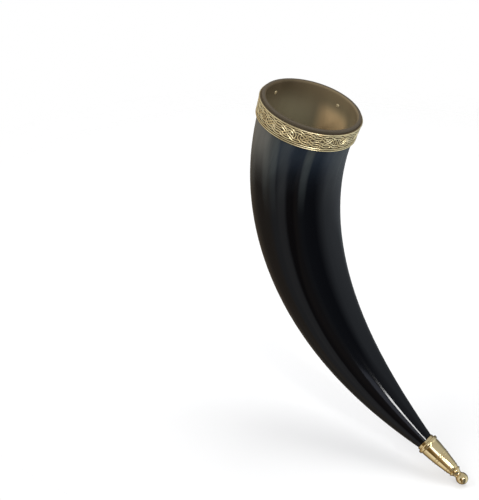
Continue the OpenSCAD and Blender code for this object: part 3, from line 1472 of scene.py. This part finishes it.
@dataclass
class Studio:
    """Floor, light and camera.

    The horn and the brass mirror a room whose brightness goes by direction. Its walls are rows of
    degrees round the Z axis and levels, for each tint. Heights and sides are parts of the direction,
    from -1 to 1: the ceiling and the ground fade in over theirs, and above slant_heights the levels of
    the walls are shifted round the axis, by more towards -X.
    """

    eye: Place = (0.3419, -0.5020, 0.2808)
    right: Place = (0.7804, 0.6251, 0.0171)
    up: Place = (-0.2970, 0.3464, 0.8899)
    back: Place = (0.5503, -0.6995, 0.4559)
    lens: float = 64.26
    sensor: float = 36.0
    shift: float = -0.0025
    clip: Span = (0.01, 50.0)
    floor_radius: float = 0.62
    floor_centre: Span = (-0.12, 0.30)
    floor_drop: float = 0.0005
    floor_fade: Span = (0.45, 0.98)
    floor_sides: int = 96
    floor_colour: Colour = (0.93, 0.93, 0.93)
    lamps: tuple[Lamp, ...] = (
        Lamp("streak", (1.188, -0.528, 0.632), (-0.316, -0.871, -0.381), (0.25, 0.085), 4.2),
        Lamp("softbox", (0.94, -0.975, 0.51), (0.26, 0.835, 0.48), (0.56, 0.52), 1.7,
             colour=(0.90, 0.96, 1.18)),
        Lamp("fill", (-1.1, -1.0, 1.1), (1.0, -1.0, 0.0), (1.2, 1.0), 14.0, mirrored=False),
        Lamp("top", (0.2, 0.7, 1.6), (1.0, 0.0, 0.0), (1.4, 0.9), 12.0, mirrored=False),
    )
    ambient: Colour = (0.6, 0.6, 0.6)
    walls: tuple[tuple[Colour, tuple[Span, ...]], ...] = (
        (WARM, ((-180.0, 0.20), (-165.0, 0.22), (-147.0, 0.33), (-130.0, 0.42))),
        (PLAIN, ((-115.0, 0.55), (-105.0, 0.62), (-97.0, 0.84), (-84.0, 0.84), (-80.0, 0.50))),
        (BROWN, ((-76.0, 0.10), (-62.0, 0.10))),
        (WARM, ((-55.0, 0.28),)),
        (COOL, ((-40.0, 0.22), (-20.0, 0.15), (-5.0, 0.13), (4.0, 0.38), (12.0, 0.66), (25.0, 0.95),
                (42.0, 0.80), (57.0, 0.62), (70.0, 0.46), (83.0, 0.32), (97.0, 0.22))),
        (PLAIN, ((115.0, 0.15),)),
        (WARM, ((150.0, 0.14), (180.0, 0.20))),
    )
    slant: float = 0.08
    slant_side: float = 0.75
    slant_heights: Span = (-0.36, -0.25)
    ceiling: Colour = (0.50, 0.53, 0.57)
    ceiling_heights: Span = (0.40, 0.62)
    ground_front: Colour = (0.56, 0.50, 0.40)
    ground_back: Colour = (0.17, 0.15, 0.12)
    ground_turn: Span = (-0.50, -0.05)
    ground_heights: Span = (-0.86, -0.70)

    def camera(self) -> None:
        """Make the camera."""
        data = bpy.data.cameras.new("camera")
        data.lens, data.sensor_width, data.sensor_fit = self.lens, self.sensor, "AUTO"
        data.shift_x = self.shift
        data.clip_start, data.clip_end = self.clip
        camera = Modeller.add("camera", data)
        camera.matrix_world = frame_of(self.eye, self.right, self.up, self.back)
        bpy.context.scene.camera = camera

    def floor(self) -> None:
        """Make the pale round floor just under the object, fading out at its edge."""
        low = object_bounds()[0].z
        Modeller.deselect()
        bpy.ops.mesh.primitive_circle_add(
            vertices=self.floor_sides, radius=self.floor_radius, fill_type="NGON",
            location=(*self.floor_centre, low - self.floor_drop))
        bpy.ops.object.transform_apply(location=True, rotation=True, scale=True)
        floor = bpy.context.object
        floor.name = "floor"
        shader = Shader("floor_white")
        shader.set(Base_Color=self.floor_colour, Roughness=0.9, Specular_IOR_Level=0.0)
        x, y = (shader.part(shader.place(), axis) for axis in "XY")
        reach = ((x - self.floor_centre[0]) ** 2.0 + (y - self.floor_centre[1]) ** 2.0) ** 0.5
        fade = reach.ramp(*(self.floor_radius * share for share in self.floor_fade))
        clear = shader.node("ShaderNodeBsdfTransparent", {}, {})
        faded = shader.node("ShaderNodeMixShader", {}, {0: fade, 1: shader.surface, 2: clear})
        shader.feed(shader.output.inputs["Surface"], faded)
        floor.data.materials.append(shader.material)
        floor.visible_glossy = False
        floor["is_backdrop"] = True

    def world(self) -> None:
        """Make the world: white to the camera, grey as light, and the mirrored room in gloss."""
        world = bpy.data.worlds.new("studio")
        bpy.context.scene.world = world
        world.use_nodes = True
        room = Nodes(world.node_tree)
        way = room.node("ShaderNodeTexCoord", {}, {}, "Generated")
        x, y, z = (room.part(way, axis) for axis in "XYZ")
        slant = z.ramp(*self.slant_heights) * (self.slant_side - x).held() * self.slant
        turn = room.node("ShaderNodeMath", {"operation": "ARCTAN2"}, {0: y, 1: x})
        turn = turn / math.tau + 0.5 + slant
        stops = [(degrees / 360.0 + 0.5, tuple(level * part for part in tint))
                 for tint, levels in self.walls for degrees, level in levels]
        mirrored = room.node("ShaderNodeValToRGB", {"stops": stops}, {0: turn})
        mirrored = room.blend(z.ramp(*self.ceiling_heights), mirrored, self.ceiling)
        ground = room.blend(y.ramp(*self.ground_turn), self.ground_front, self.ground_back)
        mirrored = room.blend(1.0 - z.ramp(*self.ground_heights), mirrored, ground)
        seen, glossy = (room.node("ShaderNodeLightPath", {}, {}, f"Is {kind} Ray")
                        for kind in ("Camera", "Glossy"))
        colour = room.blend(seen, room.blend(glossy, self.ambient, mirrored), PLAIN)
        shown = room.node("ShaderNodeBackground", {}, {"Color": colour})
        room.add("ShaderNodeOutputWorld", {}, {"Surface": shown})

    def build(self) -> None:
        """Set the stage."""
        self.camera()
        self.floor()
        for lamp in self.lamps:
            lamp.build()
        self.world()
        bpy.context.scene.view_settings.view_transform = "Standard"


def main() -> None:
    """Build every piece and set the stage."""
    logging.basicConfig(level=logging.INFO, format="%(message)s")
    for part in (HornBody(), RimBand(), BandPins(), TipMount(), Studio()):
        part.build()
        LOG.info("%s built", type(part).__name__)


if __name__ == "__main__":
    main()
